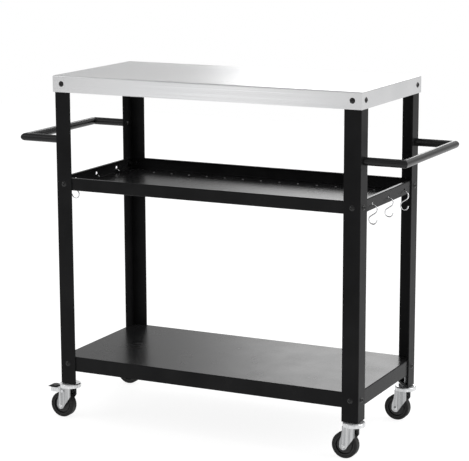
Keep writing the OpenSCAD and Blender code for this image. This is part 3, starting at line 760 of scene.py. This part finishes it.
def ramp(value, start, end, low, high):
    node = tree.nodes.new("ShaderNodeMapRange")
    node.interpolation_type = "SMOOTHSTEP"
    for name, number in (("From Min", start), ("From Max", end), ("To Min", low), ("To Max", high)):
        node.inputs[name].default_value = number
    tree.links.new(value, node.inputs["Value"])
    return node.outputs["Result"]


def vector_step(operation, value, other=None):
    node = tree.nodes.new("ShaderNodeVectorMath")
    node.operation = operation
    tree.links.new(value, node.inputs[0])
    if other is not None:
        node.inputs[1].default_value = other
    return node.outputs["Value" if operation == "DOT_PRODUCT" else "Vector"]


def number_step(operation, first, second):
    node = tree.nodes.new("ShaderNodeMath")
    node.operation = operation
    tree.links.new(first, node.inputs[0])
    tree.links.new(second, node.inputs[1])
    return node.outputs[0]


def toward(way, direction):
    """1 where a way points in the direction, less beside it."""
    return vector_step("DOT_PRODUCT", way, direction)


print("room", world.name)

# %% Tones of the room
BEHIND = Vector((-0.326, 0.945, 0.0)).normalized()
VIEWER_SIDE = Vector((0.42, -0.88, 0.1)).normalized()
LEFT_FRONT = Vector((-0.44, -0.89, -0.1)).normalized()
RIGHT_BACK = Vector((0.4, 0.91, -0.09)).normalized()
PAPER_BACK, PAPER_FRONT = 0.5, 0.27

paper = ramp(toward(sky_way, VIEWER_SIDE), 0.35, 0.95, PAPER_BACK, PAPER_FRONT)
level_way = vector_step("NORMALIZE", vector_step("MULTIPLY", sky_way, (1.0, 1.0, 0.0)))
height = toward(sky_way, (0.0, 0.0, 1.0))
strip = ramp(toward(level_way, BEHIND), 0.989, 0.9972, 0.0, 1.0)
strip = number_step("MULTIPLY", strip, ramp(height, 0.07, 0.3, 0.5, 4.0))
strip = number_step("ADD", strip, ramp(height, 0.14, 0.28, 0.0, 0.6))
strip = number_step("MULTIPLY", strip, ramp(height, 0.34, 0.6, 1.0, 0.0))
left_glow = ramp(toward(sky_way, LEFT_FRONT), 0.9954, 0.9998, 0.0, 1.0)
right_glow = ramp(toward(sky_way, RIGHT_BACK), 0.965, 0.996, 0.0, 0.3)
glow = number_step("ADD", left_glow, right_glow)
tone = number_step("ADD", number_step("ADD", paper, strip), glow)
print("paper from", PAPER_FRONT, "at the viewer to", PAPER_BACK, "behind the cart")

# %% The room as light, and white for the camera
backdrop = tree.nodes.new("ShaderNodeBackground")
backdrop.inputs["Color"].default_value = (1.0, 1.0, 1.0, 1.0)
tree.links.new(tone, backdrop.inputs["Strength"])
white = tree.nodes.new("ShaderNodeBackground")
white.inputs["Color"].default_value = (1.0, 1.0, 1.0, 1.0)
white.inputs["Strength"].default_value = 1.0
mix = tree.nodes.new("ShaderNodeMixShader")
out = tree.nodes.new("ShaderNodeOutputWorld")
path = tree.nodes.new("ShaderNodeLightPath")
tree.links.new(path.outputs["Is Camera Ray"], mix.inputs[0])
tree.links.new(backdrop.outputs[0], mix.inputs[1])
tree.links.new(white.outputs[0], mix.inputs[2])
tree.links.new(mix.outputs[0], out.inputs[0])
print("nodes in the room", len(tree.nodes))

# %% [markdown]
# ### Soft boxes
#
# A wide soft box stands on the right, a smaller one on the left and one hangs overhead.
# Bare bulbs would make hard spots on the round tubes. Wide boxes give the long, soft
# highlights along tubes and folded edges, and a shadow that fades out on the floor.


# %% Soft boxes
def soft_box(name, place, aim, width, height, watts):
    data = bpy.data.lights.new(name, "AREA")
    data.shape = "RECTANGLE"
    data.size = width
    data.size_y = height
    data.energy = watts
    obj = bpy.data.objects.new(name, data)
    obj.location = place
    obj.rotation_euler = (Vector(aim) - Vector(place)).to_track_quat("-Z", "Y").to_euler()
    bpy.context.scene.collection.objects.link(obj)


soft_box("key_right", (3.2, 0.6, 2.2), (0.0, 0.0, 0.5), 2.4, 2.4, 45.0)
soft_box("fill_left", (-2.8, -2.2, 2.4), (0.0, 0.0, 0.5), 1.6, 2.0, 12.0)
soft_box("overhead", (0.6, 0.4, 3.4), (0.0, 0.0, 0.0), 2.6, 2.6, 16.0)
bpy.context.scene.view_settings.view_transform = "Standard"
